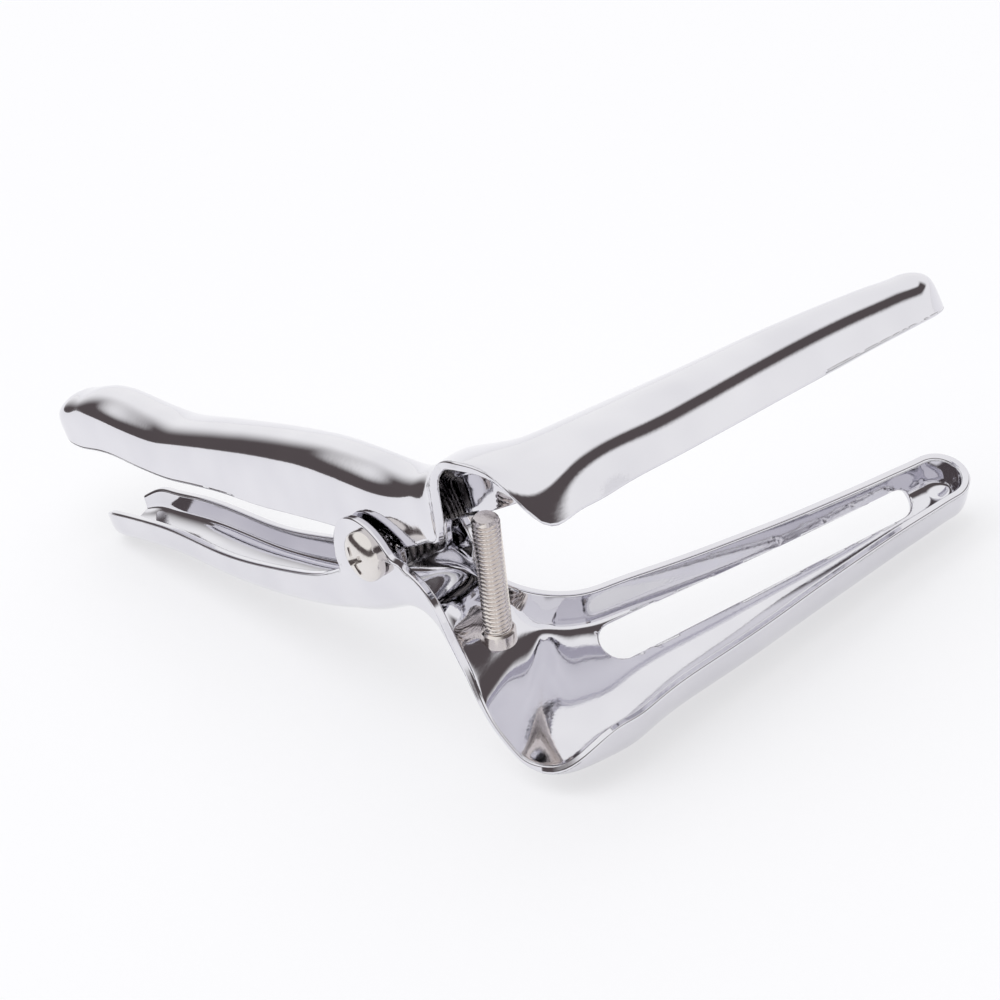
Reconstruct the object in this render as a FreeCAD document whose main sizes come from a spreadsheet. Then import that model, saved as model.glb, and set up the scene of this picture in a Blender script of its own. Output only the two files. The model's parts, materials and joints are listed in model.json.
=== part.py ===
# Two-bladed self-retaining speculum: two pressed channels of polished sheet,
# each a handle that bends into a half-tube blade, hinged on one screw.
#
# Own frame of a half: the hinge axis is Y, the closing plane of the blades is
# Z = 0, the handle runs to -X and the blade runs to +Y at positive X.
# The two halves are then swung apart about the hinge by their opening angles.
import FreeCAD, Part
import math
import os

from FreeCAD import Placement, Rotation, Vector

doc = FreeCAD.newDocument("speculum")
sheet = doc.addObject("Spreadsheet::Sheet", "Sizes")

SIZES = [
    # name, value, what it is (millimetres, degrees)
    ("gauge", 1.2, "sheet thickness of both halves"),
    ("opening_lower", 23.3, "lower closing plane below the hinge plane"),
    ("opening_upper", 21.2, "upper closing plane above the hinge plane"),
    ("stand_roll", -4.5, "turn about X that lays the part on the table"),
    ("stand_pitch", 1.6, "turn about Y that lays the part on the table"),
    ("closing_gap", 0.3, "blade edge to the closing plane"),
    ("grip_slope_lower", -35.9, "lower handle's sections to the closing plane's normal"),
    ("grip_slope_upper", 2.9, "upper handle's sections to the closing plane's normal"),
    ("bend_x", 8.5, "centre of the bend from handle to blade"),
    ("bend_y", 18.0, "centre of the bend from handle to blade"),
    ("ear_radius", 8.2, "round ear of the lower half"),
    ("ear_x", 0.5, "ear centre, lower frame"),
    ("ear_z", -4.5, "ear centre, lower frame"),
    ("ear_proud", 0.3, "ear's outer face beyond the handle wall"),
    ("lug_radius", 4.6, "round lug of the upper half about the hinge"),
    ("lug_inset", 0.6, "lug's outer face inside the face of the handle wall"),
    ("hinge_clearance", 0.05, "radial clearance of the hinge bores"),
    ("screw_diameter", 4.0, "hinge screw shank"),
    ("head_diameter", 8.0, "hinge screw pan head"),
    ("head_height", 2.4, "hinge screw pan head"),
    ("head_round", 1.5, "rounding of the pan head"),
    ("recess_length", 4.4, "cross recess, tip to tip"),
    ("recess_width", 0.9, "cross recess, arm width"),
    ("recess_depth", 1.3, "cross recess, depth"),
    ("nut_width", 7.0, "hinge nut across its flats"),
    ("nut_height", 3.2, "hinge nut"),
    ("screw_tail", 1.0, "screw end beyond the nut"),
    ("coil_radius", 3.5, "spring coil, centre of the wire"),
    ("coil_pitch", 1.25, "spring coil, turn to turn"),
    ("coil_turns", 3, "whole turns of the spring coil"),
    ("wire_diameter", 1.1, "spring wire"),
    ("leg_seat_gap", 0.9, "lower spring leg above the handle floor"),
    ("leg_swing_gap", 3.2, "upper spring leg below the upper handle"),
    ("rod_diameter", 4.0, "threaded stop rod, outside the thread"),
    ("rod_length", 20.4, "stop rod above the floor that it stands on"),
    ("rod_x", 16.6, "stop rod axis at the lower closing plane"),
    ("rod_y", 2.6, "stop rod axis at the lower closing plane"),
    ("rod_lean", -13.9, "stop rod to the normal of the lower closing plane"),
    ("rod_chamfer", 0.5, "chamfer of the rod's flat top"),
    ("collar_diameter", 4.9, "smooth collar at the rod's foot"),
    ("collar_height", 1.6, "smooth collar at the rod's foot"),
    ("window_width", 5.2, "window in the lower blade, edge to edge"),
    ("window_start", 14.4, "window end at the mouth, along the blade"),
    ("window_end", 65.6, "window end at the tip, along the blade"),
    ("window_tilt", 48.7, "window face to the closing plane"),
    ("window_drop", 2.6, "window centre line, down the tilted face"),
]

# Stations of the handles: place along X, depth of the floor from the closing
# plane, half width outside, and wall height.
GRIP_COLUMNS = ("x", "depth", "half_width", "wall")
GRIP_LOWER = [
    (-68.6, 62.2, 2.7, 1.8),
    (-66.2, 60.7, 4.3, 4.4),
    (-61.6, 57.5, 4.9, 5.3),
    (-48.7, 48.8, 5.1, 5.6),
    (-34.7, 40.8, 5.3, 5.6),
    (-21.1, 31.8, 5.7, 6.3),
    (-8.1, 21.6, 6.2, 7.0),
    (1.3, 13.2, 6.5, 9.0),
]
GRIP_UPPER = [
    (-96.7, 24.6, 2.6, 3.5),
    (-92.7, 26.5, 4.4, 6.5),
    (-84.1, 26.6, 5.0, 8.2),
    (-60.6, 20.7, 5.0, 8.2),
    (-46.1, 19.4, 5.0, 9.0),
    (-31.7, 17.8, 5.0, 10.5),
    (-13.5, 14.9, 5.0, 11.0),
    (0.2, 11.5, 5.0, 11.0),
]
# Stations of the bend: turn from handle to blade, reach from the bend centre
# and depth of the four corners, from the inside of the bend to the outside.
BEND_COLUMNS = ("turn", "wall_reach", "wall_top", "floor_reach", "floor_depth",
                "brink_reach", "brink_depth", "lip_reach", "lip_depth")
BEND_LOWER = [
    (14, 12.4, 0.3, 12.8, 3.9, 23.2, 5.6, 24.0, 0.3),
    (26, 12.6, 0.3, 13.2, 4.3, 24.0, 7.6, 25.2, 6.8),
    (38, 12.7, 0.3, 13.6, 7.6, 27.8, 10.8, 29.3, 10.8),
    (49, 12.8, 0.3, 13.4, 10.0, 34.0, 10.9, 35.6, 10.9),
    (58, 12.9, 0.3, 13.2, 10.2, 38.8, 9.8, 39.9, 5.5),
    (66, 13.0, 0.3, 13.0, 10.2, 38.4, 10.0, 38.4, 0.3),
    (78, 13.1, 0.3, 13.1, 9.8, 35.0, 9.8, 35.0, 0.3),
]
BEND_UPPER = [
    (14, 13.0, 0.3, 13.0, 9.2, 23.0, 9.2, 23.4, 0.3),
    (26, 13.0, 0.3, 13.2, 9.4, 23.6, 9.6, 25.6, 0.3),
    (35, 13.0, 0.3, 13.4, 9.8, 26.4, 11.0, 28.4, 9.6),
    (45, 13.0, 0.3, 13.4, 10.4, 32.0, 11.4, 33.4, 11.4),
    (56, 13.0, 0.3, 13.2, 10.6, 38.0, 10.2, 39.2, 7.5),
    (63, 13.0, 0.3, 13.0, 10.4, 39.2, 10.2, 39.6, 0.3),
    (78, 13.1, 0.3, 13.1, 9.8, 35.0, 9.8, 35.0, 0.3),
]
# Stations of the blades, the same for both: place along Y, centre, half width
# and depth.
BLADE_COLUMNS = ("y", "centre", "half_width", "depth")
BLADE = [
    (20, 31.7, 9.7, 9.5),
    (32, 32.1, 8.1, 9.1),
    (46, 32.1, 6.3, 8.7),
    (60, 32.0, 5.0, 7.8),
    (68, 32.0, 4.5, 7.0),
]

TABLES = (
    ("grip_lower", GRIP_COLUMNS, GRIP_LOWER),
    ("grip_upper", GRIP_COLUMNS, GRIP_UPPER),
    ("bend_lower", BEND_COLUMNS, BEND_LOWER),
    ("bend_upper", BEND_COLUMNS, BEND_UPPER),
    ("blade", BLADE_COLUMNS, BLADE),
)

rows = list(SIZES)
for table, columns, stations in TABLES:
    for number, station in enumerate(stations, 1):
        for column, value in zip(columns, station):
            rows.append((f"{table}_{number}_{column}", value, f"{table} station {number}"))
for line, (name, value, note) in enumerate(rows, 1):
    sheet.set(f"A{line}", note)
    sheet.set(f"B{line}", str(value))
    sheet.setAlias(f"B{line}", name)
doc.recompute()


def size(name):
    return float(sheet.get(name))


def table_rows(table, columns, stations):
    """Reads one table of stations back from the sheet."""
    return [
        {column: size(f"{table}_{number}_{column}") for column in columns}
        for number in range(1, len(stations) + 1)
    ]


def slopes(places, values):
    """Slopes of a smooth curve through the values that never overshoots them."""
    spans = [b - a for a, b in zip(places, places[1:])]
    rates = [(b - a) / span for a, b, span in zip(values, values[1:], spans)]
    inner = []
    for (h0, h1), (r0, r1) in zip(zip(spans, spans[1:]), zip(rates, rates[1:])):
        weights = (2 * h1 + h0, h1 + 2 * h0)
        inner.append(0 if r0 * r1 <= 0 else sum(weights) / (weights[0] / r0 + weights[1] / r1))
    return [rates[0], *inner, rates[-1]]


def between_stations(stations, step):
    """The stations with more put between them, no more than a step apart."""
    columns = list(stations[0])
    places = [row[columns[0]] for row in stations]
    tables = {column: [row[column] for row in stations] for column in columns[1:]}
    rates = {column: slopes(places, values) for column, values in tables.items()}
    filled = []
    for index, (start, end) in enumerate(zip(places, places[1:])):
        span = end - start
        parts = max(1, math.ceil(span / step))
        for part in range(parts):
            at = part / parts
            row = {columns[0]: start + span * at}
            for column, values in tables.items():
                row[column] = (
                    values[index] * (1 + 2 * at) * (1 - at) ** 2
                    + values[index + 1] * at ** 2 * (3 - 2 * at)
                    + rates[column][index] * span * at * (1 - at) ** 2
                    + rates[column][index + 1] * span * at ** 2 * (at - 1))
            filled.append(row)
    return filled + [dict(stations[-1])]


GAUGE = size("gauge")
GAP = size("closing_gap")
BEND = Vector(size("bend_x"), size("bend_y"), 0)
DOWN, UP = Vector(0, 0, -1), Vector(0, 0, 1)
ALONG = Vector(0, 1, 0)


# Sections

WALL_SHARE = 0.55      # where along a wall its middle pole lies
DEGREE = 3


def inward(corners):
    """The section's four corners moved into the channel by the gauge."""
    normals = []
    for (l0, d0), (l1, d1) in zip(corners, corners[1:]):
        run = math.hypot(l1 - l0, d1 - d0)
        normals.append(((d1 - d0) / run, -(l1 - l0) / run))
    moved = []
    for index, (reach, depth) in enumerate(corners):
        first = normals[max(index - 1, 0)]
        last = normals[min(index, len(normals) - 1)]
        share = GAUGE / (1 + first[0] * last[0] + first[1] * last[1])
        moved.append((reach + (first[0] + last[0]) * share,
                      depth + (first[1] + last[1]) * share))
    return moved


def poles(corners):
    """Four corners and the middle of each side between them."""
    (p0, p1, p2, p3) = corners

    def between(a, b, share):
        return (a[0] + (b[0] - a[0]) * share, a[1] + (b[1] - a[1]) * share)

    return [p0, between(p0, p1, WALL_SHARE), p1, between(p1, p2, 0.5), p2,
            between(p3, p2, WALL_SHARE), p3]


def spline(points):
    count = len(points)
    inner = count - DEGREE - 1
    curve = Part.BSplineCurve()
    curve.buildFromPolesMultsKnots(
        points, [DEGREE + 1] + [1] * inner + [DEGREE + 1],
        [float(k) for k in range(inner + 2)], False, DEGREE)
    return curve.toShape()


def section(origin, reach_way, depth_way, corners):
    """Closed wire of one channel section, outside and inside of the sheet."""
    outside = [origin + reach_way * a + depth_way * b for a, b in poles(corners)]
    inside = [origin + reach_way * a + depth_way * b for a, b in poles(inward(corners))]
    inside.reverse()
    return Part.Wire([
        spline(outside), Part.makeLine(outside[-1], inside[0]),
        spline(inside), Part.makeLine(inside[-1], outside[0])])


def grip_wires(stations, way, slope):
    """Sections across a handle, from its end to the hinge."""
    lean = math.radians(slope)
    depth_way = Vector(-math.sin(lean), 0, 0) + way * math.cos(lean)
    wires = []
    for row in stations:
        w, wall = row["half_width"], row["wall"]
        origin = Vector(row["x"], 0, 0) + way * row["depth"]
        wires.append(section(origin, Vector(0, -1, 0), depth_way,
                             [(-w, -wall), (-w, 0), (w, 0), (w, -wall)]))
    return wires


def bend_wires(stations, way):
    """Sections that turn about the bend centre, open at the mouth."""
    wires = []
    for row in stations:
        turn = math.radians(row["turn"])
        reach_way = Vector(math.sin(turn), -math.cos(turn), 0)
        wires.append(section(BEND, reach_way, way, [
            (row["wall_reach"], row["wall_top"]), (row["floor_reach"], row["floor_depth"]),
            (row["brink_reach"], row["brink_depth"]), (row["lip_reach"], row["lip_depth"])]))
    return wires


def blade_corners(row):
    w, depth = row["half_width"], row["depth"]
    return [(-w, GAP), (-w, depth), (w, depth), (w, GAP)]


def blade_wires(stations, way):
    """Sections across a blade, each edge at the closing gap."""
    return [section(Vector(row["centre"], row["y"], 0), Vector(1, 0, 0), way, blade_corners(row))
            for row in stations]


# Helpers

def fuse(name, shapes):
    joined = doc.addObject("Part::MultiFuse", name)
    joined.Shapes = shapes
    return joined


def cut(name, base, tool):
    result = doc.addObject("Part::Cut", name)
    result.Base = base
    result.Tool = tool
    return result


def cylinder(name, radius, height, base_y, turn=-90):
    """Cylinder along the hinge axis, its sizes bound to the sheet."""
    body = doc.addObject("Part::Cylinder", name)
    body.Placement = Placement(Vector(), Rotation(Vector(1, 0, 0), turn))
    body.setExpression("Radius", radius)
    body.setExpression("Height", height)
    body.setExpression("Placement.Base.y", base_y)
    return body


# Halves

ways = {"lower": DOWN, "upper": UP}
grips = {
    "lower": table_rows("grip_lower", GRIP_COLUMNS, GRIP_LOWER),
    "upper": table_rows("grip_upper", GRIP_COLUMNS, GRIP_UPPER),
}
bends = {
    "lower": table_rows("bend_lower", BEND_COLUMNS, BEND_LOWER),
    "upper": table_rows("bend_upper", BEND_COLUMNS, BEND_UPPER),
}
blade = table_rows("blade", BLADE_COLUMNS, BLADE)
tip = blade[-1]

SECTION_STEP = 7.0     # widest gap between two sections of a loft
SECTION_TURN = 8.0     # largest turn between two sections of a bend

# Reach of the ears' and the lugs' outer faces from the middle of the handles.
LOWER_ROOT = f"(Sizes.grip_lower_{len(GRIP_LOWER)}_half_width + Sizes.ear_proud)"
UPPER_ROOT = f"(Sizes.grip_upper_{len(GRIP_UPPER)}_half_width - Sizes.lug_inset)"


def pressed_channel(half):
    """Handle, bend and blade as one loft through its sections."""
    way = ways[half]
    wires = (
        grip_wires(between_stations(grips[half], SECTION_STEP), way, size(f"grip_slope_{half}"))
        + bend_wires(between_stations(bends[half], SECTION_TURN), way)
        + blade_wires(between_stations(blade, SECTION_STEP), way))
    sections = []
    for number, wire in enumerate(wires, 1):
        feature = doc.addObject("Part::Feature", f"{half}_section_{number}")
        feature.Shape = wire
        sections.append(feature)
    loft = doc.addObject("Part::Loft", f"{half}_channel")
    loft.Sections = sections
    loft.Solid = True
    loft.Ruled = False
    return loft


def blade_nose(half):
    """Round closed end of a blade: its last section turned half round."""
    way = ways[half]
    centre = Vector(tip["centre"], tip["y"], 0)

    def far_half(corners):
        """A section curve from its far edge to its middle."""
        edge = spline([centre + Vector(1, 0, 0) * a + way * b for a, b in poles(corners)])
        curve = edge.Curve
        middle = (curve.FirstParameter + curve.LastParameter) / 2
        curve.segment(curve.FirstParameter, middle)
        return curve.toShape(), curve.value(curve.FirstParameter), curve.value(curve.LastParameter)

    outside, outside_edge, outside_middle = far_half(blade_corners(tip))
    inside, inside_edge, inside_middle = far_half(inward(blade_corners(tip)))
    face = Part.Face(Part.Wire([
        outside, Part.makeLine(outside_middle, inside_middle),
        inside, Part.makeLine(inside_edge, outside_edge)]))
    turned = face.revolve(centre, UP, -180)
    feature = doc.addObject("Part::Feature", f"{half}_nose")
    feature.Shape = turned if turned.Volume > 0 else turned.reversed()
    return feature


def hinge_plates(name, radius, root, centre_x=None, centre_z=None):
    """Two round plates of one gauge, in line with the walls beside the hinge."""
    plates = []
    for side, base_y in (("near", f"-{root}"), ("far", f"{root} - Sizes.gauge")):
        plate = cylinder(f"{name}_{side}", radius, "Sizes.gauge", base_y)
        if centre_x:
            plate.setExpression("Placement.Base.x", centre_x)
            plate.setExpression("Placement.Base.z", centre_z)
        plates.append(plate)
    return plates


def hinge_bore(name, root):
    """Bore through both walls on the hinge axis."""
    return cylinder(name, "Sizes.screw_diameter / 2 + Sizes.hinge_clearance",
                    f"2 * ({root} + Sizes.gauge)", f"-{root} - Sizes.gauge")


# Lower half: channel, round blade end and two round ears outside the upper half.
lower_sheet = fuse("lower_sheet", [
    pressed_channel("lower"), blade_nose("lower"),
    *hinge_plates("ear", "Sizes.ear_radius", LOWER_ROOT, "Sizes.ear_x", "Sizes.ear_z")])

# Window: a round-ended slot through the corner of trough floor and far wall.
slot_length = "(Sizes.window_end - Sizes.window_start - Sizes.window_width)"
slot_height = "2 * Sizes.window_width + 4 * Sizes.gauge"
slot = doc.addObject("Part::Box", "window_slot")
slot.setExpression("Length", "Sizes.window_width")
slot.setExpression("Width", slot_length)
slot.setExpression("Height", slot_height)
slot_ends = []
for end_name in ("start", "end"):
    end = doc.addObject("Part::Cylinder", f"window_{end_name}")
    end.setExpression("Radius", "Sizes.window_width / 2")
    end.setExpression("Height", slot_height)
    end.setExpression("Placement.Base.x", "Sizes.window_width / 2")
    slot_ends.append(end)
slot_ends[1].setExpression("Placement.Base.y", slot_length)
window = fuse("window_tool", [slot] + slot_ends)

tilt = Rotation(ALONG, size("window_tilt"))
out_way, drop_way = tilt.multVec(DOWN), tilt.multVec(Vector(1, 0, 0))
window.Placement = Placement(
    Vector(tip["centre"], size("window_start") + size("window_width") / 2, 0)
    + drop_way * (size("window_drop") + size("window_width") / 2)
    + out_way * (2 * GAUGE),
    Rotation(-drop_way, ALONG, out_way, "XZY"))

lower_half = cut("lower_half", cut("lower_open", lower_sheet, window),
                 hinge_bore("lower_bore", LOWER_ROOT))

# Upper half: channel, round blade end and two lugs that run inside the ears.
upper_sheet = fuse("upper_sheet", [
    pressed_channel("upper"), blade_nose("upper"),
    *hinge_plates("lug", "Sizes.lug_radius", UPPER_ROOT)])
upper_half = cut("upper_half", upper_sheet, hinge_bore("upper_bore", UPPER_ROOT))
doc.recompute()


# Hinge

shank = cylinder("screw_shank", "Sizes.screw_diameter / 2",
                 f"2 * {LOWER_ROOT} + Sizes.nut_height + Sizes.screw_tail", f"-{LOWER_ROOT}")
head_blank = cylinder("screw_head_blank", "Sizes.head_diameter / 2", "Sizes.head_height",
                      f"-{LOWER_ROOT}", 90)
doc.recompute()
head = doc.addObject("Part::Fillet", "screw_head")
head.Base = head_blank
top_y = min(edge.BoundBox.YMin for edge in head_blank.Shape.Edges)
head.Edges = [(number, size("head_round"), size("head_round"))
              for number, edge in enumerate(head_blank.Shape.Edges, 1)
              if edge.Closed and edge.BoundBox.YMax < top_y + GAP]

recess_arms = []
for arm_name, across, upright in (("level", "length", "width"), ("upright", "width", "length")):
    arm = doc.addObject("Part::Box", f"recess_{arm_name}")
    arm.setExpression("Length", f"Sizes.recess_{across}")
    arm.setExpression("Width", "2 * Sizes.recess_depth")
    arm.setExpression("Height", f"Sizes.recess_{upright}")
    arm.setExpression("Placement.Base.x", f"-Sizes.recess_{across} / 2")
    arm.setExpression("Placement.Base.y",
                      f"-{LOWER_ROOT} - Sizes.head_height - Sizes.recess_depth")
    arm.setExpression("Placement.Base.z", f"-Sizes.recess_{upright} / 2")
    recess_arms.append(arm)
hinge_screw = cut("hinge_screw", fuse("screw_blank", [shank, head]),
                  fuse("screw_recess", recess_arms))

nut_blank = doc.addObject("Part::Prism", "nut_blank")
nut_blank.Polygon = 6
nut_blank.Placement = Placement(Vector(), Rotation(Vector(1, 0, 0), -90))
nut_blank.setExpression("Circumradius", "Sizes.nut_width / 2 / cos(30 deg)")
nut_blank.setExpression("Height", "Sizes.nut_height")
nut_blank.setExpression("Placement.Base.y", LOWER_ROOT)
hinge_nut = cut("hinge_nut", nut_blank, cylinder(
    "nut_bore", "Sizes.screw_diameter / 2 + Sizes.hinge_clearance", "3 * Sizes.nut_height",
    f"{LOWER_ROOT} - Sizes.nut_height"))


# Spring

swing = {
    "lower": Rotation(ALONG, size("opening_lower")),
    "upper": Rotation(ALONG, -size("opening_upper")),
}
wire = size("wire_diameter") / 2
coil = size("coil_radius")
pitch = size("coil_pitch")


def leg_end(half, station, gap):
    """Point on a handle's middle line, a gap and half a wire inside its floor."""
    lean = math.radians(size(f"grip_slope_{half}"))
    inside = Vector(math.sin(lean), 0, 0) - ways[half] * math.cos(lean)
    floor = Vector(station["x"], 0, 0) + ways[half] * station["depth"]
    return swing[half].multVec(floor + inside * (GAUGE + wire + gap))


def leave_angle(point, side):
    """Angle on the coil at which a straight leg to the point leaves it."""
    bearing = math.atan2(point.z, point.x)
    return bearing + side * math.acos(coil / math.hypot(point.x, point.z))


def on_coil(angle, y):
    return Vector(coil * math.cos(angle), y, coil * math.sin(angle))


low_end = leg_end("lower", grips["lower"][-2], size("leg_seat_gap"))
high_end = leg_end("upper", grips["upper"][-2], size("leg_swing_gap"))
start_angle, end_angle = leave_angle(low_end, 1), leave_angle(high_end, -1)
turns = (end_angle - start_angle) / (2 * math.pi) % 1 + round(size("coil_turns"))
rise = pitch * turns

coil_start, coil_end = on_coil(start_angle, rise / 2), on_coil(end_angle, -rise / 2)
low_end.y, high_end.y = coil_start.y, coil_end.y
helix = Part.makeHelix(pitch, rise, coil)
helix.rotate(Vector(), UP, math.degrees(start_angle))
helix.rotate(Vector(), Vector(1, 0, 0), 90)
helix.translate(ALONG * (rise / 2))
wire_line = Part.Wire([Part.makeLine(low_end, coil_start), *helix.Edges,
                       Part.makeLine(coil_end, high_end)])
wire_circle = Part.Wire(Part.makeCircle(wire, low_end, coil_start - low_end))
torsion_spring = doc.addObject("Part::Feature", "torsion_spring")
torsion_spring.Shape = wire_line.makePipeShell([wire_circle], True, True)


# Stop rod

rod_way = Rotation(ALONG, size("rod_lean")).multVec(UP)
rod_line = Vector(size("rod_x"), size("rod_y"), 0)
below = Part.makeLine(rod_line, rod_line - rod_way * size("rod_length"))
foot = min((vertex.Point for vertex in below.common(lower_half.Shape).Vertexes),
           key=lambda point: (point - rod_line).Length)
root = foot - rod_way * (2 * GAUGE)
rod_blank = Part.makeCylinder(size("rod_diameter") / 2, size("rod_length") + 2 * GAUGE,
                              root, rod_way)
rod_rim = max((edge for edge in rod_blank.Edges if edge.Closed),
              key=lambda edge: edge.CenterOfMass.z)
rod_blank = rod_blank.makeChamfer(size("rod_chamfer"), [rod_rim])
collar = Part.makeCylinder(size("collar_diameter") / 2, size("collar_height") + 2 * GAUGE,
                           root, rod_way)
standing = rod_blank.fuse(collar).removeSplitter().cut(lower_half.Shape)
stop_rod = doc.addObject("Part::Feature", "stop_rod")
stop_rod.Shape = max(standing.Solids, key=lambda solid: solid.Volume)


# Stance

turn = Rotation(Vector(1, 0, 0), size("stand_roll")) * Rotation(ALONG, size("stand_pitch"))
nodes = {
    lower_half: swing["lower"],
    upper_half: swing["upper"],
    hinge_screw: Rotation(),
    hinge_nut: Rotation(),
    torsion_spring: Rotation(),
    stop_rod: swing["lower"],
}
doc.recompute()
for node, own_turn in nodes.items():
    node.Placement = Placement(Vector(), turn * own_turn)
doc.recompute()

# The part stands on Z = 0 with its origin under the middle of its outline.
box = FreeCAD.BoundBox()
for node in nodes:
    box.add(node.Shape.optimalBoundingBox(False, False))
offset = Vector(-box.Center.x, -box.Center.y, -box.ZMin)
for node, own_turn in nodes.items():
    node.Placement = Placement(offset, turn * own_turn)
    node.Label = node.Name
doc.recompute()

for item in doc.Objects:
    if "Invalid" in item.State or "Error" in item.State:
        raise RuntimeError(f"{item.Name}: {item.State}")
os.makedirs("parts", exist_ok=True)
for node in nodes:
    shape = node.Shape
    if shape.isNull() or not shape.isValid() or len(shape.Solids) != 1:
        raise RuntimeError(f"{node.Label} is not one valid solid")
for node in nodes:
    node.Shape.exportStep(f"parts/{node.Label}.step")
    print(node.Label, "volume", round(node.Shape.Volume, 1), "mm3")

axis = turn.multVec(ALONG)
print("hinge at", [round(v, 3) for v in offset], "along", [round(v, 6) for v in axis])
print("reach", [round(v, 2) for v in (box.XLength, box.YLength, box.ZLength)])
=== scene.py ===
import json
from math import ceil, cos, hypot, pi, radians, sin, sqrt

import bmesh
import bpy
import numpy as np
from mathutils import Euler, Matrix, Vector


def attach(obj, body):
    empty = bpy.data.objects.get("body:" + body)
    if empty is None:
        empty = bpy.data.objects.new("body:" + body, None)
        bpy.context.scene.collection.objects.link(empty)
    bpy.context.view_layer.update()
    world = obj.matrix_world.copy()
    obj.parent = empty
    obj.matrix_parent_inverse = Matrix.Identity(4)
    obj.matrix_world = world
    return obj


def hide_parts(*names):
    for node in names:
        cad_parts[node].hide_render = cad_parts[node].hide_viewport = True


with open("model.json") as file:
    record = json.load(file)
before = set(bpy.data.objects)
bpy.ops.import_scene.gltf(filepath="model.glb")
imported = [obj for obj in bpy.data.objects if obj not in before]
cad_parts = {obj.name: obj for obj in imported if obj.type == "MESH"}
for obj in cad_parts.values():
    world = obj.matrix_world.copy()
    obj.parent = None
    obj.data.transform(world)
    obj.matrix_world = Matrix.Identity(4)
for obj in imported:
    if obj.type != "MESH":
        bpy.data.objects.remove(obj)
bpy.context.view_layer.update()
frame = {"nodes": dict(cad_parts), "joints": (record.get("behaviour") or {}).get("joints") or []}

# Lower half: one channel pressed from 1.2 mm stainless sheet and mirror polished.
# The handle bends into a trough blade with a round nose and a long window, and
# both handle walls rise into round ears that carry the hinge screw.
MM = 0.001
GAUGE = 1.2
EDGE_ROUND, EDGE_SEGMENTS, EDGE_ANGLE = 0.34, 3, radians(50)
CLOSING_GAP = 0.3
STAND_ROLL, STAND_PITCH = radians(-4.5), radians(1.6)
OPENING_LOWER = radians(23.3)
HINGE = Vector(frame["joints"][0]["pos_m"])
BEND_CENTRE = np.array([8.5, 18.0, 0.0])
LOWER_WAY, LOWER_SLOPE = -1, radians(-35.9)
# Handle stations: place along X, depth of the floor, half width, wall height.
LOWER_HANDLE = [
    (-68.6, 62.2, 3.6, 3.9), (-66.2, 60.7, 4.7, 5.0), (-61.6, 57.5, 5.0, 5.4),
    (-48.7, 48.8, 5.1, 5.6), (-34.7, 40.8, 5.3, 5.6), (-21.1, 31.8, 5.7, 6.3),
    (-8.1, 21.6, 6.2, 7.0), (1.3, 13.2, 6.5, 9.0)]
# Bend stations: turn, then reach and depth of wall top, floor, brink and lip.
LOWER_BEND = [
    (14, 12.4, 0.3, 12.8, 3.9, 23.2, 5.6, 24.0, 0.3),
    (26, 12.6, 0.3, 13.2, 4.3, 24.0, 7.6, 25.2, 6.8),
    (38, 12.7, 0.3, 13.6, 7.6, 27.8, 10.8, 29.3, 10.8),
    (49, 12.8, 0.3, 13.4, 10.0, 34.0, 10.9, 35.6, 10.9),
    (58, 12.9, 0.3, 13.2, 10.2, 38.8, 9.8, 39.9, 5.5),
    (66, 13.0, 0.3, 13.0, 10.2, 38.4, 10.0, 38.4, 0.3),
    (78, 13.1, 0.3, 13.1, 9.8, 35.0, 9.8, 35.0, 0.3)]
# Blade stations, the same for both halves: place along Y, centre, half width, depth.
BLADE = [(20, 31.7, 9.7, 9.5), (32, 32.1, 8.1, 9.1), (46, 32.1, 6.3, 8.7),
         (60, 32.0, 5.0, 7.8), (68, 32.0, 4.5, 7.0)]
# The ears are flat plates about the hinge: centre, radius, distance of their outer
# faces from the middle, and the height over which the wall steps out to them.
EAR_CENTRE, EAR_RADIUS, EAR_FACE, EAR_JOG = (0.2, -3.9), 8.5, 6.8, 1.5
EAR_MARGIN = 4
BORE_RADIUS = 2.05
WINDOW_WIDTH, WINDOW_DROP, WINDOW_TILT = 5.2, 2.6, radians(48.7)
WINDOW_START, WINDOW_END = 14.4, 65.6
# Stations are filled in to this spacing before one smooth curve runs through them.
FILL_STEP, FILL_TURN = 7.0, 8.0
# A section's wall pole lies half way up, and its floor is crowned by this share.
WALL_SHARE, CROWN = 0.5, 0.2
# Points across a section and round the nose, and the spacing of the rows.
ACROSS, EAR_COLUMNS, HALF_COLUMNS, NOSE_STEPS = 97, 20, 36, 56
FINE_STEP, STEP = 0.3, 0.6
# How often rows, ear heights and cut edges are evened.
ROW_PASSES, EAR_PASSES, RIM_PASSES = 5, 6, 8
SLIDE_PASSES, PROBE, FLATTEST = 4, 1e-3, 0.2
DOUBLES, FAR_OFF = 0.02, 50.0


def between(stations, step):
    """The stations with more put between them, on curves that never overshoot them."""
    table = np.array(stations, float)
    place, values = table[:, 0], table[:, 1:]
    span = np.diff(place)
    rate = np.diff(values, axis=0) / span[:, None]
    slope = np.vstack([rate[:1], np.zeros_like(rate[1:]), rate[-1:]])
    for i in range(1, len(rate)):
        before, after = 2 * span[i] + span[i - 1], span[i] + 2 * span[i - 1]
        same_way = rate[i - 1] * rate[i] > 0
        first = np.where(same_way, rate[i - 1], 1)
        second = np.where(same_way, rate[i], 1)
        slope[i] = np.where(same_way, (before + after) / (before / first + after / second), 0)
    filled = []
    for i, width in enumerate(span):
        steps = ceil(width / step)
        for u in np.arange(steps) / steps:
            row = (values[i] * (1 + 2 * u) * (1 - u) ** 2 + values[i + 1] * u * u * (3 - 2 * u)
                   + slope[i] * width * u * (1 - u) ** 2 + slope[i + 1] * width * u * u * (u - 1))
            filled.append([place[i] + width * u, *row])
    return filled + [list(table[-1])]


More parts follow.
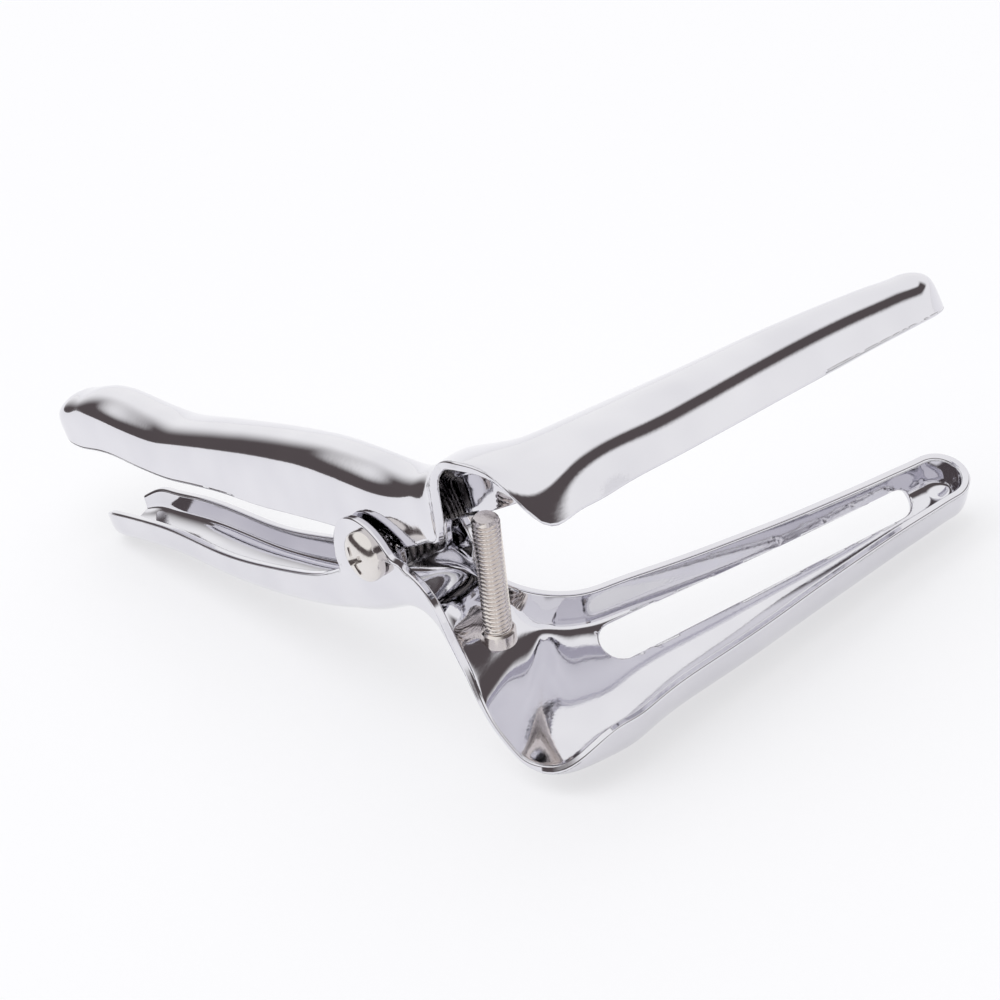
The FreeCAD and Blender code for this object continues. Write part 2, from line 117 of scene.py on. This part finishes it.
def handle_corners(stations, way, slope):
    """The four corners of each section of a handle, from far edge to near edge."""
    deep = np.array([-sin(slope), 0, way * cos(slope)])
    side = np.array([0, 1, 0])
    rows = []
    for x, depth, half, wall in between(stations, FILL_STEP):
        floor = np.array([x, 0, way * depth])
        far, near = floor + side * half, floor - side * half
        rows.append([far - deep * wall, far, near, near - deep * wall])
    return rows


def bend_corners(stations, way):
    """The same for sections that turn about the bend's centre."""
    rows = []
    for turn, *places in between(stations, FILL_TURN):
        reach = np.array([sin(radians(turn)), -cos(radians(turn)), 0])
        rows.append([BEND_CENTRE + reach * out + np.array([0, 0, way * deep])
                     for out, deep in zip(places[::2], places[1::2])])
    return rows


def blade_corners(way):
    """The same for the blade."""
    return [[np.array([x, y, way * z]) for x, z in
             ((c - half, CLOSING_GAP), (c - half, depth), (c + half, depth), (c + half, CLOSING_GAP))]
            for y, c, half, depth in between(BLADE, FILL_STEP)]


def smooth_rows(stations, fine_reach):
    """Rows close together on a curve through the stations without a change of bend."""
    rows = np.array(stations).reshape(len(stations), 12)
    middles = np.array(stations)[:, 1:3].mean(axis=1)
    place = np.concatenate([[0], np.cumsum(np.linalg.norm(np.diff(middles, axis=0), axis=1))])
    span = np.diff(place)
    count = len(place)
    system, load = np.zeros((count, count)), np.zeros((count, 12))
    system[0, 0] = 1
    for i in range(1, count - 1):
        system[i, i - 1:i + 2] = span[i - 1], 2 * (span[i - 1] + span[i]), span[i]
        load[i] = 6 * ((rows[i + 1] - rows[i]) / span[i] - (rows[i] - rows[i - 1]) / span[i - 1])
    system[-1, -2:] = span[-1], 2 * span[-1]
    load[-1] = 6 * (np.tile([0, 1, 0], 4) - (rows[-1] - rows[-2]) / span[-1])
    turn = np.linalg.solve(system, load)
    made = []
    for i, width in enumerate(span):
        fine = abs(middles[i][0]) < fine_reach
        steps = max(1, round(width / (FINE_STEP if fine else STEP)))
        for u in np.arange(steps) / steps * width:
            v = width - u
            made.append((turn[i] * v ** 3 + turn[i + 1] * u ** 3) / (6 * width)
                        + (rows[i] / width - turn[i] * width / 6) * v
                        + (rows[i + 1] / width - turn[i + 1] * width / 6) * u)
    made.append(rows[-1])
    made = np.array(made)
    for _ in range(ROW_PASSES):
        made[1:-1] = (made[:-2] + 2 * made[1:-1] + made[2:]) / 4
    return made.reshape(-1, 4, 3)


def section_weights(points):
    """How much of each of seven poles each point of a section takes (cubic B-spline)."""
    knots = np.array([0, 0, 0, 0, 1, 2, 3, 4, 4, 4, 4], float)
    at = np.linspace(0, 4, points)
    table = np.array([(knots[i] <= at) & (at < knots[i + 1]) for i in range(10)], float)
    table[6, -1] = 1
    for degree in (1, 2, 3):
        raised = np.zeros((len(table) - 1, points))
        for i in range(len(raised)):
            for j, near, far in ((i, knots[i], knots[i + degree]),
                                 (i + 1, knots[i + degree + 1], knots[i + 1])):
                if far != near:
                    raised[i] += (at - near) / (far - near) * table[j]
        table = raised
    return table.T


def bent_sheet(corners):
    """Points of the sheet's outside, row by row, from corners to crowned sections."""
    far, floor_far, floor_near, near = (corners[:, i] for i in range(4))
    half = np.linalg.norm(floor_far - floor_near, axis=1, keepdims=True) / 2
    falls = []
    for lip, floor in ((far, floor_far), (near, floor_near)):
        wall = np.linalg.norm(lip - floor, axis=1, keepdims=True)
        falls.append((lip - floor) / wall * (CROWN * 2 * half * wall / (half + wall)))
    crown = (floor_far + floor_near) / 2 - (falls[0] + falls[1]) / 4
    poles = np.stack([far, far + (floor_far - far) * WALL_SHARE, floor_far + falls[0], crown,
                      floor_near + falls[1], near + (floor_near - near) * WALL_SHARE, near],
                     axis=1)
    return np.einsum("cp,rpk->rck", section_weights(ACROSS), poles)


def evened(rows):
    """Each row's points spread evenly from either edge to its middle."""
    middle = rows.shape[1] // 2
    made = []
    for row in rows:
        sides = []
        for side in (row[:middle + 1], row[middle:]):
            run = np.concatenate([[0], np.cumsum(np.linalg.norm(np.diff(side, axis=0), axis=1))])
            at = np.linspace(0, run[-1], HALF_COLUMNS + 1)
            sides.append(np.stack([np.interp(at, run, side[:, k]) for k in range(3)], axis=1))
        made.append(np.concatenate([sides[0], sides[1][1:]]))
    return np.array(made)


def with_ears(skin, centre, radius, face):
    """The skin with its two edges drawn out to a circle, to plates at the face's width."""
    added = []
    for edge, inner in ((skin[:, 0], skin[:, 2]), (skin[:, -1], skin[:, -3])):
        away = edge - inner
        away /= np.linalg.norm(away, axis=1, keepdims=True)
        flat, start = away[:, ::2], edge[:, ::2] - np.array(centre)
        a, b = (flat * flat).sum(axis=1), (flat * start).sum(axis=1)
        root = b * b - a * ((start * start).sum(axis=1) - radius ** 2)
        met = (root > 0) & (a > 0.1)
        length = np.where(met, (np.sqrt(np.maximum(root, 0)) - b) / np.maximum(a, 0.1), 0)
        length = np.maximum(length, 0)
        for _ in range(EAR_PASSES):
            length[1:-1] = (length[:-2] + 2 * length[1:-1] + length[2:]) / 4
        run = length[:, None] * np.linspace(0, 1, EAR_COLUMNS + 1)[1:]
        ease = np.clip(run / EAR_JOG, 0, 1)
        rows = edge[:, None] + away[:, None] * run[..., None]
        aside = np.sign(edge[:, None, 1]) * face - rows[..., 1]
        rows[..., 1] += aside * ease * ease * (3 - 2 * ease)
        added.append(rows)
    return evened(np.concatenate([added[0][:, ::-1], skin, added[1]], axis=1))


def draw_grid(name, points):
    """A grid laid through rows of points, in millimetres of the piece's own frame."""
    rows, columns = points.shape[:2]
    bpy.ops.object.select_all(action="DESELECT")
    bpy.ops.mesh.primitive_grid_add(x_subdivisions=columns - 1, y_subdivisions=rows - 1)
    piece = bpy.context.object
    piece.name = piece.data.name = name
    piece.data.vertices.foreach_set("co", points.astype(np.float32).ravel())
    piece.data.update()
    return piece


def merged(name, pieces, gap):
    """The pieces joined into one mesh, with doubles merged."""
    bpy.ops.object.select_all(action="DESELECT")
    for piece in pieces:
        piece.select_set(True)
    bpy.context.view_layer.objects.active = pieces[0]
    if len(pieces) > 1:
        bpy.ops.object.join()
    bpy.ops.object.mode_set(mode="EDIT")
    bpy.ops.mesh.select_all(action="SELECT")
    bpy.ops.mesh.remove_doubles(threshold=gap)
    bpy.ops.mesh.dissolve_degenerate(threshold=gap)
    bpy.ops.mesh.normals_make_consistent(inside=False)
    bpy.ops.object.mode_set(mode="OBJECT")
    pieces[0].name = pieces[0].data.name = name
    return pieces[0]


def onto(vertex, outline):
    """Slides a vertex along its surface until it lies on the outline."""
    for _ in range(SLIDE_PASSES):
        here = outline(vertex.co)
        slope = Vector([outline(vertex.co + Vector(step)) - here
                        for step in ((PROBE, 0, 0), (0, PROBE, 0), (0, 0, PROBE))]) / PROBE
        slope -= vertex.normal * slope.dot(vertex.normal)
        if slope.length > FLATTEST:
            vertex.co -= slope * (here / slope.length_squared)


def cut_out(piece, outline):
    """Takes out the faces inside an outline, and evens the new edge along it."""
    mesh = bmesh.new()
    mesh.from_mesh(piece.data)
    inside = [face for face in mesh.faces if outline(face.calc_center_median()) < 0]
    rim = {vertex for face in inside for vertex in face.verts}
    bmesh.ops.delete(mesh, geom=inside, context="FACES")
    rim = [vertex for vertex in rim if vertex.is_valid and vertex.link_faces]
    ring = {edge.other_vert(vertex) for vertex in rim for edge in vertex.link_edges} - set(rim)
    for _ in range(RIM_PASSES):
        mesh.normal_update()
        shifts = []
        for vertex in [*rim, *ring]:
            beside = [edge.other_vert(vertex).co for edge in vertex.link_edges
                      if vertex in ring or edge.is_boundary]
            if beside:
                shift = sum(beside, Vector()) / len(beside) - vertex.co
                shifts.append((vertex, shift - vertex.normal * shift.dot(vertex.normal)))
        for vertex, shift in shifts:
            vertex.co += shift / 2
        for vertex in rim:
            onto(vertex, outline)
    mesh.to_mesh(piece.data)
    mesh.free()


def own_place(opening):
    """Takes millimetres in a half's own frame to its place on the table, in metres."""
    turn = Euler((STAND_ROLL, 0, 0)).to_matrix() @ Euler((0, STAND_PITCH, 0)).to_matrix()
    return (Matrix.Translation(HINGE) @ turn.to_4x4() @ Matrix.Rotation(opening, 4, "Y")
            @ Matrix.Scale(MM, 4))


def press(piece, opening, way):
    """Gives the sheet its thickness and soft edges, and lays it in its place."""
    floor = max(piece.data.polygons, key=lambda face: face.center.z * way)
    if floor.normal.z * way < 0:
        piece.data.flip_normals()
    piece.data.transform(own_place(opening))
    bpy.ops.object.select_all(action="DESELECT")
    piece.select_set(True)
    bpy.context.view_layer.objects.active = piece
    bpy.ops.object.shade_smooth()
    wall = piece.modifiers.new("gauge", "SOLIDIFY")
    wall.thickness, wall.offset, wall.use_quality_normals = GAUGE * MM, -1, True
    soft = piece.modifiers.new("soft_edges", "BEVEL")
    soft.width, soft.segments = EDGE_ROUND * MM, EDGE_SEGMENTS
    soft.limit_method, soft.angle_limit = "ANGLE", EDGE_ANGLE
    soft.use_clamp_overlap, soft.harden_normals = False, True
    soft.miter_outer = "MITER_ARC"
    for modifier in ("gauge", "soft_edges"):
        bpy.ops.object.modifier_apply(modifier=modifier)
    return piece


def pressed_half(name, handle, slope, bend, way, ear):
    """Handle, bend and blade of one half as a single skin with its round nose."""
    stations = handle_corners(handle, way, slope) + bend_corners(bend, way) + blade_corners(way)
    skin = bent_sheet(smooth_rows(stations, EAR_RADIUS + EAR_MARGIN))
    rows = with_ears(skin, *ear)
    sheet = draw_grid(name, rows)
    tip = rows[-1, :HALF_COLUMNS + 1]
    middle = np.array([BLADE[-1][1], BLADE[-1][0], 0.0])
    nose = []
    for angle in np.linspace(0, -pi, NOSE_STEPS + 1):
        spin = np.array([[cos(angle), -sin(angle), 0], [sin(angle), cos(angle), 0], [0, 0, 1]])
        nose.append((tip - middle) @ spin.T + middle)
    return merged(name, [sheet, draw_grid("nose", np.array(nose))], DOUBLES)


def window(point):
    """Distance from the window's outline, in the lower half's own frame."""
    x, y, z = point.x - BLADE[-1][1], point.y, point.z
    if -x * sin(WINDOW_TILT) - z * cos(WINDOW_TILT) < 1:
        return FAR_OFF
    drop = x * cos(WINDOW_TILT) - z * sin(WINDOW_TILT) - WINDOW_DROP
    half = WINDOW_WIDTH / 2
    beyond = max(0.0, WINDOW_START + half - y, y - WINDOW_END + half)
    return hypot(drop, beyond) - half


def bore(point):
    """Distance from the hinge bore's edge."""
    return hypot(point.x, point.z) - BORE_RADIUS


lower = pressed_half("lower_half_sheet", LOWER_HANDLE, LOWER_SLOPE, LOWER_BEND, LOWER_WAY,
                     (EAR_CENTRE, EAR_RADIUS, EAR_FACE))
cut_out(lower, window)
cut_out(lower, bore)
press(lower, OPENING_LOWER, LOWER_WAY)


def linear(code):
    """An sRGB hex colour in the scene's linear values."""
    shares = [int(code[i:i + 2], 16) / 255 for i in (1, 3, 5)]
    return tuple(s / 12.92 if s <= 0.04045 else ((s + 0.055) / 1.055) ** 2.4 for s in shares) + (1,)


def add_node(tree, kind, inputs=None, **settings):
    """Adds a node with its settings, its plain inputs and its links."""
    made = tree.nodes.new(kind)
    for name, value in settings.items():
        setattr(made, name, value)
    for name, value in (inputs or {}).items():
        if isinstance(value, bpy.types.NodeSocket):
            tree.links.new(value, made.inputs[name])
        else:
            made.inputs[name].default_value = value
    return made


def new_material(name):
    """An empty node material."""
    made = bpy.data.materials.new(name)
    made.use_nodes = True
    made.node_tree.nodes.clear()
    return made


def polished_steel(name, light, dark, roughness, ripple, grain):
    """Sheet steel buffed to a mirror: the press leaves slow waves some 9 mm long,
    and the mop leaves a fine grain near 0.5 mm that breaks up a reflection's edge."""
    made = new_material(name)
    tree = made.node_tree
    place = add_node(tree, "ShaderNodeTexCoord").outputs["Object"]
    wave = add_node(tree, "ShaderNodeTexNoise", {"Vector": place, "Scale": 110.0, "Detail": 1.0})
    pits = add_node(tree, "ShaderNodeTexNoise", {"Vector": place, "Scale": 2000.0, "Detail": 3.0})
    tint = add_node(tree, "ShaderNodeMix", {
        "Factor": wave.outputs["Fac"], "A": linear(light), "B": linear(dark)}, data_type="RGBA")
    rough = add_node(tree, "ShaderNodeMapRange", {
        "Value": pits.outputs["Fac"], "From Min": 0.3, "From Max": 0.7,
        "To Min": roughness * 0.6, "To Max": roughness * 1.5})
    swell = add_node(tree, "ShaderNodeBump", {
        "Height": wave.outputs["Fac"], "Distance": ripple * MM, "Strength": 1.0})
    fine = add_node(tree, "ShaderNodeBump", {
        "Height": pits.outputs["Fac"], "Distance": grain * MM, "Strength": 1.0,
        "Normal": swell.outputs["Normal"]})
    shader = add_node(tree, "ShaderNodeBsdfPrincipled", {
        "Metallic": 1.0, "Base Color": tint.outputs["Result"],
        "Roughness": rough.outputs["Result"], "Normal": fine.outputs["Normal"]})
    add_node(tree, "ShaderNodeOutputMaterial", {"Surface": shader.outputs["BSDF"]})
    return made


# Stainless sheet, buffed after pressing: bright, faintly blue, with sharp reflections.
mirror_steel = polished_steel("stainless_steel_mirror_polished", "#E9E8EC", "#DAD9DF",
                              0.055, 0.02, 0.0035)


def dress(piece, material, body, slot, *nodes):
    """Gives a piece its finish and says what it rides on and stands for."""
    piece.data.materials.clear()
    piece.data.materials.append(material)
    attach(piece, body)
    if nodes:
        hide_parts(*nodes)


dress(lower, mirror_steel, "lower", "polished_steel", "lower_half")

# Upper half: the same sheet, pressed as an inverted channel that runs between the
# lower half's ears. Its blade is a plain half tube with a flared lip at the mouth,
# and two lugs below its handle walls turn on the hinge screw.
OPENING_UPPER = radians(-21.2)
UPPER_WAY, UPPER_SLOPE = 1, radians(2.9)
UPPER_HANDLE = [
    (-96.7, 24.6, 2.9, 3.5), (-92.7, 26.3, 4.6, 6.5), (-84.1, 26.3, 5.0, 8.2),
    (-72.0, 23.4, 5.0, 8.2), (-60.6, 20.5, 5.0, 8.2), (-46.1, 19.0, 5.0, 9.0),
    (-31.7, 17.5, 5.0, 10.5),
    (-13.5, 14.9, 5.0, 11.0), (0.2, 11.5, 5.0, 11.0)]
UPPER_BEND = [
    (14, 13.0, 0.3, 13.0, 9.2, 23.0, 9.2, 23.4, 0.3),
    (25, 13.0, 0.3, 13.2, 9.4, 23.6, 9.6, 25.4, 0.3),
    (30, 13.0, 0.3, 13.3, 9.6, 25.0, 10.4, 26.6, 6.6),
    (36, 13.0, 0.3, 13.4, 9.9, 27.2, 11.1, 28.8, 10.2),
    (45, 13.0, 0.3, 13.4, 10.4, 32.0, 11.9, 33.4, 12.3),
    (55, 13.0, 0.3, 13.2, 10.6, 37.6, 10.6, 38.8, 8.6),
    (60.5, 13.0, 0.3, 13.0, 10.4, 39.6, 9.6, 40.4, 0.3),
    (78, 13.1, 0.3, 13.1, 9.8, 35.0, 9.8, 35.0, 0.3)]
LUG_RADIUS, LUG_FACE = 4.6, 4.4


upper = pressed_half("upper_half_sheet", UPPER_HANDLE, UPPER_SLOPE, UPPER_BEND, UPPER_WAY,
                     ((0.0, 0.0), LUG_RADIUS, LUG_FACE))
cut_out(upper, bore)
press(upper, OPENING_UPPER, UPPER_WAY)
dress(upper, mirror_steel, "upper", "polished_steel", "upper_half")

# Hinge screw: an M4 pan-head machine screw of nickel-plated steel with a cross recess,
# put in from the near side through ears and lugs. Its head is turned and its recess
# punched, and its rolled thread stands a little out of the nut.
HEAD_RADIUS, HEAD_HEIGHT, HEAD_FOOT = 3.75, 2.4, 6.4
HEAD_TOP = 9.2
HEAD_SIDE, DOME_SHOULDER, DOME_TOP, DOME_STEPS = 0.22, 0.9, 0.8, 14
RECESS_EDGE, HEAD_TURN = 0.08, radians(28)
RECESS_LENGTH, RECESS_WIDTH, RECESS_DEPTH, RECESS_TAPER = 6.0, 1.3, 1.3, 0.5
THREAD_RADIUS, THREAD_PITCH, THREAD_DEPTH = 2.0, 0.7, 0.43
THREAD_ROWS, ROUND_STEPS = 12, 64
SHANK_END = 11.0


def turned(name, profile, steps=ROUND_STEPS):
    """A closed turned piece about Z from a profile of radius and height."""
    angles = np.linspace(0, 2 * pi, steps + 1)
    points = np.array([[(r * cos(a), r * sin(a), z) for a in angles] for r, z in profile])
    return merged(name, [draw_grid(name, points)], 0.001)


def threaded(name, length, tip_chamfer, foot_plain):
    """A rolled rod about Z: the thread runs out at its plain foot and chamfered tip."""
    angles = np.linspace(0, 2 * pi, ROUND_STEPS + 1)
    rows = [np.zeros((len(angles), 3))]
    for z in np.arange(0, length + 1e-6, THREAD_PITCH / THREAD_ROWS):
        turn = (z / THREAD_PITCH - angles / (2 * pi)) % 1
        flank = np.clip(np.abs(turn - 0.5) * 2.6 - 0.2, 0, 1)
        kept = min(1, max(0, (z - foot_plain) / THREAD_PITCH))
        radius = THREAD_RADIUS - THREAD_DEPTH * flank * kept
        radius = np.minimum(radius, THREAD_RADIUS - max(0, z - length + tip_chamfer))
        rows.append(np.stack([radius * np.cos(angles), radius * np.sin(angles),
                              np.full(len(angles), z)], axis=1))
    rows.append(np.tile([0, 0, length], (len(angles), 1)))
    return merged(name, [draw_grid(name, np.array(rows))], 0.001)


def finish_round(piece, place, angle=35):
    """Lays a turned piece in its place and shades it smooth up to its edges."""
    piece.data.transform(place)
    bpy.ops.object.select_all(action="DESELECT")
    piece.select_set(True)
    bpy.context.view_layer.objects.active = piece
    bpy.ops.object.shade_smooth_by_angle(angle=radians(angle))
    return piece


crown = [(HEAD_RADIUS * sin(a) ** DOME_SHOULDER,
          HEAD_HEIGHT * (HEAD_SIDE + (1 - HEAD_SIDE) * cos(a) ** DOME_TOP))
         for a in np.linspace(pi / 2, 0, DOME_STEPS)]
head = turned("hinge_screw_head", [(0, HEAD_FOOT - HEAD_TOP + HEAD_HEIGHT),
                                   (HEAD_RADIUS - 0.1, HEAD_FOOT - HEAD_TOP + HEAD_HEIGHT),
                                   (HEAD_RADIUS, 0.1), *crown])
for turn in (0, pi / 2):
    bpy.ops.object.select_all(action="DESELECT")
    bpy.ops.mesh.primitive_cube_add(size=1, location=(0, 0, HEAD_HEIGHT),
                                    scale=(RECESS_LENGTH, RECESS_WIDTH, 2 * RECESS_DEPTH),
                                    rotation=(0, 0, turn))
    punch = bpy.context.object
    bpy.ops.object.transform_apply(location=True, rotation=True, scale=True)
    for corner in punch.data.vertices:
        if corner.co.z < HEAD_HEIGHT:
            corner.co.x *= RECESS_TAPER
            corner.co.y *= RECESS_TAPER
    bpy.ops.object.select_all(action="DESELECT")
    head.select_set(True)
    bpy.context.view_layer.objects.active = head
    cut = head.modifiers.new("recess", "BOOLEAN")
    cut.object, cut.operation, cut.solver = punch, "DIFFERENCE", "EXACT"
    bpy.ops.object.modifier_apply(modifier="recess")
    bpy.data.objects.remove(punch)
soft = head.modifiers.new("soft_edges", "BEVEL")
soft.width, soft.segments = RECESS_EDGE, 2
soft.limit_method, soft.angle_limit = "ANGLE", radians(40)
bpy.ops.object.modifier_apply(modifier="soft_edges")
head.data.transform(Matrix.Translation((0, 0, HEAD_TOP - HEAD_HEIGHT)))
shank = threaded("hinge_shank", SHANK_END + HEAD_FOOT, 0.5, 4.0)
shank.data.transform(Matrix.Rotation(pi, 4, "X") @ Matrix.Translation((0, 0, -HEAD_FOOT)))
screw = merged("hinge_screw_m4", [head, shank], 0.0005)
screw_turn = Matrix.Rotation(HEAD_TURN, 4, "Z")
finish_round(screw, own_place(0) @ Matrix.Rotation(pi / 2, 4, "X") @ screw_turn)

# Nickel plate on steel: a little warmer and softer than the buffed sheet.
nickel = polished_steel("steel_nickel_plated", "#ECE9E7", "#D4CDC8", 0.14, 0.006, 0.004)
dress(screw, nickel, "lower", "screw_steel", "hinge_screw")

# Hinge nut: a plain M4 hexagon nut of the same plated steel on the far ear. Its
# corners are chamfered at both faces, as cold-formed nuts are.
NUT_WIDTH, NUT_HEIGHT, NUT_BORE, NUT_SEAT = 7.0, 3.2, 1.9, 6.4
NUT_CHAMFER, NUT_FACE, NUT_COLUMNS = 0.577, 0.97, 96
nut_angles = np.linspace(0, 2 * pi, NUT_COLUMNS + 1)
flat_radius = NUT_WIDTH / 2
hexagon = flat_radius / np.cos((nut_angles + pi / 6) % (pi / 3) - pi / 6)
bore_ring = np.full_like(hexagon, NUT_BORE)
face_ring = np.full_like(hexagon, flat_radius * NUT_FACE)
seat, top_face = np.zeros_like(hexagon), np.full_like(hexagon, NUT_HEIGHT)
ease = (hexagon - face_ring) * NUT_CHAMFER
nut_rows = []
for radius, height in ((bore_ring, seat), (face_ring, seat), (hexagon, ease),
                       (hexagon, top_face - ease), (face_ring, top_face),
                       (bore_ring, top_face), (bore_ring, seat)):
    nut_rows.append(np.stack([radius * np.cos(nut_angles), radius * np.sin(nut_angles),
                              height], axis=1))
nut = merged("hinge_nut_m4", [draw_grid("hinge_nut_m4", np.array(nut_rows))], 0.001)
finish_round(nut, own_place(0) @ Matrix.Rotation(-pi / 2, 4, "X")
             @ Matrix.Translation((0, 0, NUT_SEAT)), 25)
dress(nut, nickel, "lower", "screw_steel", "hinge_nut")

# Stop rod: a stud of bright M4 thread riveted into the lower half's bend, leaning
# back with the blade. A short collar covers its foot and its tip is chamfered.
ROD_LENGTH, ROD_X, ROD_Y, ROD_LEAN = 20.4, 16.6, 2.6, radians(-13.9)
ROD_SINK, ROD_CHAMFER = 0.6, 0.5
COLLAR_RADIUS, COLLAR_HEIGHT, COLLAR_EDGE = 2.45, 1.6, 0.3
rod_way = Matrix.Translation((ROD_X, ROD_Y, 0)) @ Matrix.Rotation(ROD_LEAN, 4, "Y")
to_rod = (own_place(OPENING_LOWER) @ rod_way).inverted()
rod_top = max((to_rod @ corner.co).z for corner in frame["nodes"]["stop_rod"].data.vertices)
stud = threaded("stop_rod_stud", ROD_LENGTH + ROD_SINK, ROD_CHAMFER, ROD_SINK + COLLAR_HEIGHT)
stud.data.transform(Matrix.Translation((0, 0, rod_top - ROD_LENGTH - ROD_SINK)))
foot = rod_top - ROD_LENGTH
collar = turned("collar", [
    (0, foot - ROD_SINK), (COLLAR_RADIUS, foot - ROD_SINK),
    (COLLAR_RADIUS, foot + COLLAR_HEIGHT - COLLAR_EDGE),
    (COLLAR_RADIUS - COLLAR_EDGE, foot + COLLAR_HEIGHT),
    (0, foot + COLLAR_HEIGHT)])
stop_rod = merged("stop_rod_m4", [stud, collar], 0.0005)
finish_round(stop_rod, own_place(OPENING_LOWER) @ rod_way)
# Thread rolled in bright bar: its crests are burnished, with a light grain between.
drawn_steel = polished_steel("steel_bright_rolled", "#F0EAE6", "#D8D1CC", 0.16, 0.002, 0.002)
dress(stop_rod, drawn_steel, "lower", "rod_steel", "stop_rod")

# Torsion spring: hard-drawn spring wire wound round the screw between the lugs, its
# legs under the two handles. The frame's own solid has this shape and stays; the
# wire is duller than the polished sheet, and its colour is darkened with painted shade
# for where it sits deep in the hinge.
spring = frame["nodes"]["torsion_spring"]
# The wire's two dark tones are painted shade for its place deep between the lugs.
spring_wire_painted_shade = polished_steel("spring_steel_painted_shade", "#8E8A88", "#5F5B5A", 0.28, 0.003, 0.006)
spring.data.materials.clear()
spring.data.materials.append(spring_wire_painted_shade)

# Stage: a white table that keeps the shadow, and a pale room for the mirror finish.
CAMERA_PLACE = Vector((0.56176, -0.28091, 0.35288))
CAMERA_TURN = (radians(59.899), radians(15.461), radians(54.880))
CAMERA_LENS, CAMERA_SENSOR = 176.645, 36.0
PAPER_SHARE = 0.55
BELT_LEAN, BELT_FOOT, BELT_TOP = (-0.15, -0.07, 0.0), (0.06, 0.2), (0.5, 0.66)
BACKDROP_WAY, BACKDROP_EDGE = (-0.6, 0.8, 0.0), (0.5, 0.8)
LAMP_PLACE, LAMP_POWER, LAMP_SIZE = (-0.1, -0.2, 1.1), 4.0, 1.2

bpy.ops.object.select_all(action="DESELECT")
bpy.ops.mesh.primitive_plane_add(size=6.0, location=(0, 0, 0))
table = bpy.context.object
table.name = "table"
table_paint = new_material("white_laminate")
tree = table_paint.node_tree
table_shader = add_node(tree, "ShaderNodeBsdfPrincipled", {
    "Base Color": linear("#FBFBFF"), "Roughness": 0.6})
# The paper's own white shows to the camera and in the metal, and the shadow stays.
table_rays = add_node(tree, "ShaderNodeLightPath")
seen_table = add_node(tree, "ShaderNodeMath", {
    0: table_rays.outputs["Is Camera Ray"], 1: table_rays.outputs["Is Glossy Ray"]},
    operation="MAXIMUM")
paper_share = add_node(tree, "ShaderNodeMath", {0: seen_table.outputs["Value"], 1: PAPER_SHARE},
                       operation="MULTIPLY")
paper = add_node(tree, "ShaderNodeEmission", {"Color": linear("#FFFFFF"), "Strength": 1.0})
table_look = add_node(tree, "ShaderNodeMixShader", {
    0: paper_share.outputs["Value"], 1: table_shader.outputs["BSDF"],
    2: paper.outputs["Emission"]})
add_node(tree, "ShaderNodeOutputMaterial", {"Surface": table_look.outputs["Shader"]})
table.data.materials.append(table_paint)

world = bpy.data.worlds.new("pale_room")
bpy.context.scene.world = world
world.use_nodes = True
tree = world.node_tree
tree.nodes.clear()
look = add_node(tree, "ShaderNodeTexCoord").outputs["Generated"]
parts = add_node(tree, "ShaderNodeSeparateXYZ", {"Vector": look})
# A dark belt stands round the table, higher on the right, apart from the backdrop.
rightward = add_node(tree, "ShaderNodeVectorMath", {
    0: look, 1: BELT_LEAN}, operation="DOT_PRODUCT")
level = add_node(tree, "ShaderNodeMath", {
    0: parts.outputs["Z"], 1: rightward.outputs["Value"]}, operation="ADD")
under_top = add_node(tree, "ShaderNodeMapRange", {
    "Value": level.outputs["Value"], "From Min": BELT_TOP[0], "From Max": BELT_TOP[1],
    "To Min": 1.0, "To Max": 0.0}, interpolation_type="SMOOTHSTEP")
over_horizon = add_node(tree, "ShaderNodeMapRange", {
    "Value": level.outputs["Value"], "From Min": BELT_FOOT[0], "From Max": BELT_FOOT[1],
    "To Min": 0.0, "To Max": 1.0}, interpolation_type="SMOOTHSTEP")
belt = add_node(tree, "ShaderNodeMath", {
    0: under_top.outputs["Result"], 1: over_horizon.outputs["Result"]}, operation="MULTIPLY")
toward_backdrop = add_node(tree, "ShaderNodeVectorMath", {
    0: look, 1: BACKDROP_WAY}, operation="DOT_PRODUCT")
aside = add_node(tree, "ShaderNodeMapRange", {
    "Value": toward_backdrop.outputs["Value"],
    "From Min": BACKDROP_EDGE[0], "From Max": BACKDROP_EDGE[1],
    "To Min": 1.0, "To Max": 0.0}, interpolation_type="SMOOTHSTEP")
shade = add_node(tree, "ShaderNodeMath", {0: belt.outputs["Value"], 1: aside.outputs["Result"]},
                 operation="MULTIPLY")
room = add_node(tree, "ShaderNodeMix", {
    "Factor": shade.outputs["Value"], "A": linear("#FFFFFF"), "B": linear("#5A5354")},
    data_type="RGBA")
rays = add_node(tree, "ShaderNodeLightPath")
seen = add_node(tree, "ShaderNodeMix", {
    "Factor": rays.outputs["Is Camera Ray"], "A": room.outputs["Result"],
    "B": linear("#FFFFFF")}, data_type="RGBA")
sky = add_node(tree, "ShaderNodeBackground", {"Color": seen.outputs["Result"], "Strength": 1.0})
add_node(tree, "ShaderNodeOutputWorld", {"Surface": sky.outputs["Background"]})

lamp_data = bpy.data.lights.new("softbox", "AREA")
lamp_data.energy, lamp_data.size = LAMP_POWER, LAMP_SIZE
lamp_data.color = linear("#FAFBFF")[:3]
lamp = bpy.data.objects.new("softbox", lamp_data)
bpy.context.scene.collection.objects.link(lamp)
lamp.visible_glossy = False
lamp.location = LAMP_PLACE
lamp.rotation_euler = (-lamp.location).to_track_quat("-Z", "Y").to_euler()

camera_data = bpy.data.cameras.new("camera")
camera_data.lens, camera_data.sensor_width = CAMERA_LENS, CAMERA_SENSOR
camera = bpy.data.objects.new("camera", camera_data)
bpy.context.scene.collection.objects.link(camera)
camera.location, camera.rotation_euler = CAMERA_PLACE, CAMERA_TURN
bpy.context.scene.camera = camera
bpy.context.scene.view_settings.view_transform = "Standard"
